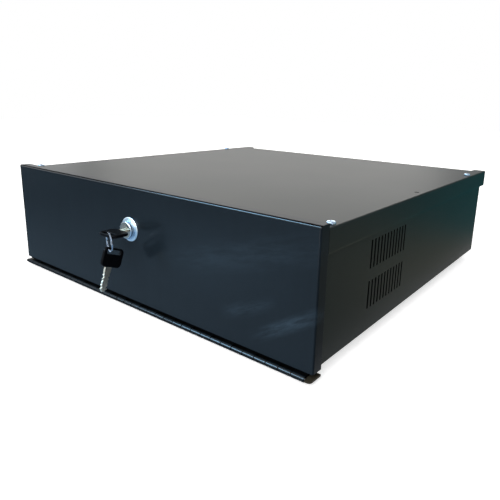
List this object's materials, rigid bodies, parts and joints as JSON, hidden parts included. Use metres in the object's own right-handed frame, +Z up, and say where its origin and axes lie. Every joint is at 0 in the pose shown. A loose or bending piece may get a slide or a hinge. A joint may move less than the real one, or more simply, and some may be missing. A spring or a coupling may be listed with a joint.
{
  "type": "lockable drawer enclosure",
  "caption": "Low black sheet-steel equipment box with a sliding drawer tray, a drop-down hinged front with cam lock and keys, a screwed cover and slotted sides.",
  "frame": {"origin": "middle of the four fixing holes, in the underside of the case", "axes": "+X to the right seen from the front, +Y to the rear, +Z up"},
  "size_m": [0.4572, 0.5098, 0.1349],
  "materials": {
    "black_paint": "satin powder coat",
    "black_plastic": "moulded",
    "bright_chrome": "polished",
    "nickel": "nickel plated",
    "rubber": "matt",
    "steel_pin": "drawn",
    "zinc": "zinc plated"
  },
  "bodies": {
    "case": {"case_shell": "black_paint", "strike_rail": "black_paint", "rear_panel": "black_paint", "rear_panel_rivets": "black_paint", "cable_grommet_left": "rubber", "cable_grommet_right": "rubber", "top_cover": "black_paint", "cover_screws": "zinc", "rubber_feet": "rubber", "foot_screws": "zinc", "foot_nuts": "zinc", "slide_left_outer_member": "zinc", "slide_right_outer_member": "zinc"},
    "drawer": {"drawer_tray": "black_paint", "front_sill": "black_paint", "sill_rivets": "black_paint", "tray_slide_screws": "zinc", "slide_left_inner_member": "zinc", "slide_right_inner_member": "zinc", "hinge_drawer_leaf": "black_paint", "hinge_pin": "steel_pin"},
    "drop_front": {"door_panel": "black_paint", "hinge_door_leaf": "black_paint", "lock_housing": "bright_chrome", "lock_rim": "bright_chrome", "lock_nut": "zinc"},
    "lock_core": {"lock_plug": "bright_chrome", "lock_cam": "zinc", "cam_screw": "zinc"},
    "key": {"key_bow": "black_plastic", "key_blade": "nickel"},
    "key_ring": {"key_ring": "bright_chrome"},
    "spare_key": {"spare_key_bow": "black_plastic", "spare_key_blade": "nickel"},
    "slide_left_middle": {"slide_left_middle_member": "zinc"},
    "slide_left_outer_cage": {"slide_left_outer_ball_cage": "zinc"},
    "slide_left_inner_cage": {"slide_left_inner_ball_cage": "zinc"},
    "slide_right_middle": {"slide_right_middle_member": "zinc"},
    "slide_right_outer_cage": {"slide_right_outer_ball_cage": "zinc"},
    "slide_right_inner_cage": {"slide_right_inner_ball_cage": "zinc"}
  },
  "joints": [
    {"name": "drawer_slide", "type": "slide", "parent": "case", "child": "drawer", "axis": [0, -1, 0], "range_m": [0, 0.3]},
    {"name": "front_hinge", "type": "hinge", "parent": "drawer", "child": "drop_front", "pos_m": [0, -0.2337, -0.0066], "axis": [1, 0, 0], "range_deg": [0, 95]},
    {"name": "lock_turn", "type": "hinge", "parent": "drop_front", "child": "lock_core", "pos_m": [-0.0021, -0.2317, 0.0777], "axis": [0, -1, 0], "range_deg": [0, 90]},
    {"name": "key_pull", "type": "slide", "parent": "lock_core", "child": "key", "axis": [0, -1, 0], "range_m": [0, 0.03]},
    {"name": "ring_swing", "type": "hinge", "parent": "key", "child": "key_ring", "pos_m": [0.0049, -0.2619, 0.0715], "axis": [-0.342, -0.9397, 0], "range_deg": [-30, 30]},
    {"name": "spare_key_swing", "type": "hinge", "parent": "key_ring", "child": "spare_key", "pos_m": [0.0049, -0.2619, 0.0623], "axis": [0.9397, -0.342, 0], "range_deg": [-20, 20]},
    {"name": "slide_left_middle_travel", "type": "slide", "parent": "case", "child": "slide_left_middle", "axis": [0, -1, 0], "range_m": [0, 0.15]},
    {"name": "slide_left_outer_cage_travel", "type": "slide", "parent": "case", "child": "slide_left_outer_cage", "axis": [0, -1, 0], "range_m": [0, 0.075]},
    {"name": "slide_left_inner_cage_travel", "type": "slide", "parent": "case", "child": "slide_left_inner_cage", "axis": [0, -1, 0], "range_m": [0, 0.225]},
    {"name": "slide_right_middle_travel", "type": "slide", "parent": "case", "child": "slide_right_middle", "axis": [0, -1, 0], "range_m": [0, 0.15]},
    {"name": "slide_right_outer_cage_travel", "type": "slide", "parent": "case", "child": "slide_right_outer_cage", "axis": [0, -1, 0], "range_m": [0, 0.075]},
    {"name": "slide_right_inner_cage_travel", "type": "slide", "parent": "case", "child": "slide_right_inner_cage", "axis": [0, -1, 0], "range_m": [0, 0.225]}
  ],
  "couplings": [
    {"joint": "slide_left_middle_travel", "follows": "drawer_slide", "ratio": 0.5},
    {"joint": "slide_left_outer_cage_travel", "follows": "drawer_slide", "ratio": 0.25},
    {"joint": "slide_left_inner_cage_travel", "follows": "drawer_slide", "ratio": 0.75},
    {"joint": "slide_right_middle_travel", "follows": "drawer_slide", "ratio": 0.5},
    {"joint": "slide_right_outer_cage_travel", "follows": "drawer_slide", "ratio": 0.25},
    {"joint": "slide_right_inner_cage_travel", "follows": "drawer_slide", "ratio": 0.75}
  ]
}
